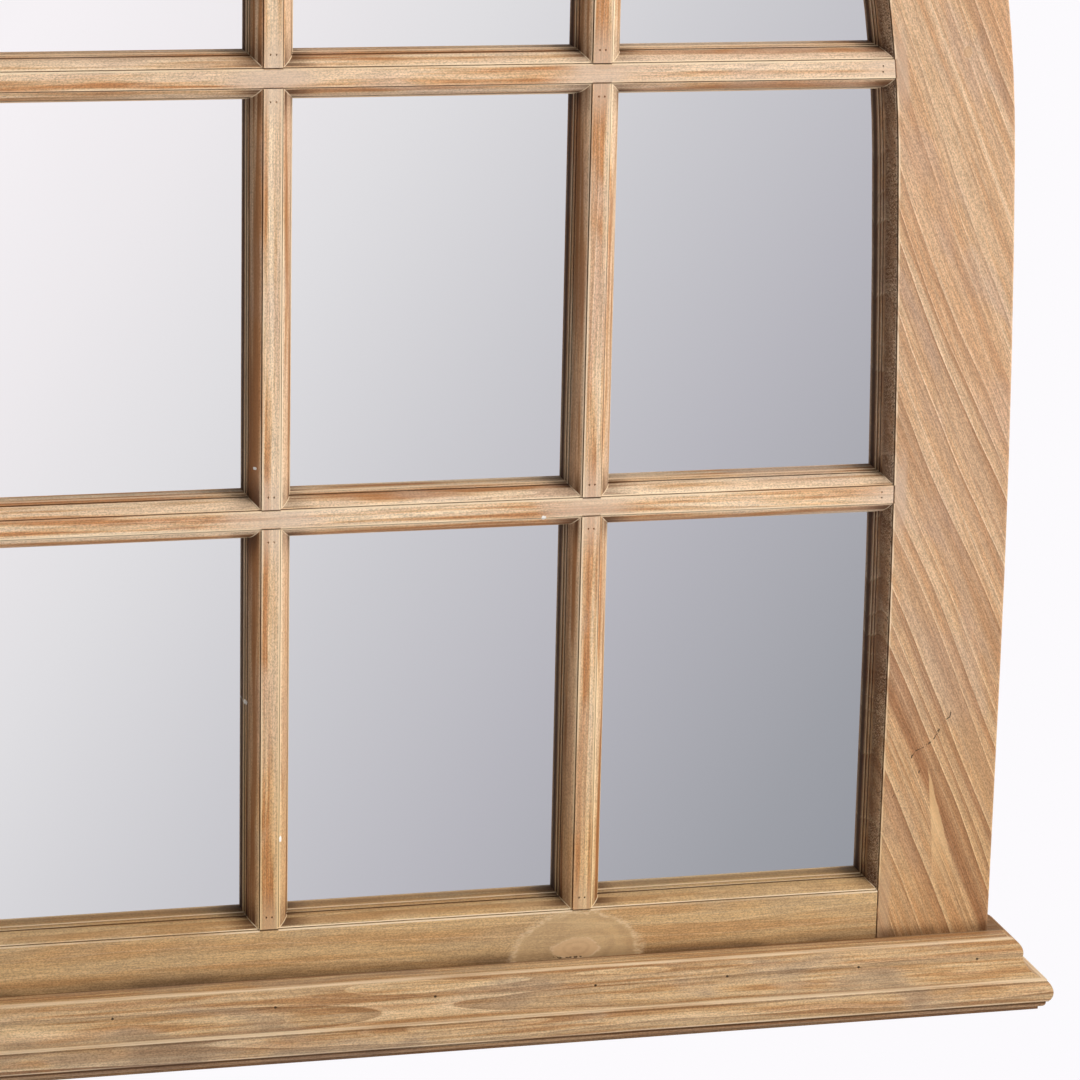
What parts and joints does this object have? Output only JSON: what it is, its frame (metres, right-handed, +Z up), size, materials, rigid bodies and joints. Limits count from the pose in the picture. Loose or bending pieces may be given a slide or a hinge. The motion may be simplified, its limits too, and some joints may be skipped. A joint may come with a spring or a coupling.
{
  "type": "arched window mirror",
  "caption": "Wall mirror in an arched wooden window frame with moulded glazing bars over one mirror sheet and a moulded sill, hung from two rings on the back.",
  "frame": {"origin": "middle of the bottom edge of the sill's back", "axes": "+X to the right seen from the front, +Y back to the wall, +Z up"},
  "size_m": [0.96, 0.0706, 0.9998],
  "materials": {
    "side_wood": "stained softwood, waxed",
    "crown_wood": "stained softwood, waxed",
    "rail_wood": "stained softwood, waxed",
    "cross_bar_wood": "stained softwood, waxed",
    "upright_wood": "stained softwood, waxed",
    "sill_wood": "stained softwood, waxed",
    "sill_moulding_wood": "stained softwood, waxed",
    "sill_return_wood": "stained softwood, waxed",
    "mirror_glass": "polished silvered glass",
    "hardboard": "smooth pressed board",
    "dowel_wood": "plain beech",
    "brad_steel": "dull wire",
    "screw_steel": "zinc plated",
    "hanger_steel": "zinc plated",
    "pad_rubber": "matt"
  },
  "bodies": {
    "frame": {"back_panel": "hardboard", "back_panel_screws": "screw_steel", "bar_brads": "brad_steel", "bottom_rail": "rail_wood", "cross_bar_1": "cross_bar_wood", "cross_bar_2": "cross_bar_wood", "cross_bar_3": "cross_bar_wood", "crown_board": "crown_wood", "crown_dowels": "dowel_wood", "hanger_screws": "screw_steel", "left_hanger_strap": "hanger_steel", "left_side_board": "side_wood", "mirror_sheet": "mirror_glass", "rail_dowels": "dowel_wood", "right_hanger_strap": "hanger_steel", "right_side_board": "side_wood", "row_1_upright_1": "upright_wood", "row_1_upright_2": "upright_wood", "row_1_upright_3": "upright_wood", "row_2_upright_1": "upright_wood", "row_2_upright_2": "upright_wood", "row_2_upright_3": "upright_wood", "row_3_upright_1": "upright_wood", "row_3_upright_2": "upright_wood", "row_3_upright_3": "upright_wood", "row_4_upright_1": "upright_wood", "row_4_upright_2": "upright_wood", "row_4_upright_3": "upright_wood", "sill_board": "sill_wood", "sill_brads": "brad_steel", "sill_front_moulding": "sill_moulding_wood", "sill_left_return": "sill_return_wood", "sill_right_return": "sill_return_wood", "sill_screws": "screw_steel", "wall_pads": "pad_rubber"},
    "left_ring": {"left_hanging_ring": "hanger_steel"},
    "right_ring": {"right_hanging_ring": "hanger_steel"}
  },
  "joints": [
    {"name": "left_ring_hinge", "type": "hinge", "parent": "frame", "child": "left_ring", "pos_m": [-0.40004, 0.00275, 0.56381], "axis": [1, 0, 0], "range_deg": [0, 180]},
    {"name": "right_ring_hinge", "type": "hinge", "parent": "frame", "child": "right_ring", "pos_m": [0.40004, 0.00275, 0.56381], "axis": [1, 0, 0], "range_deg": [0, 180]}
  ]
}
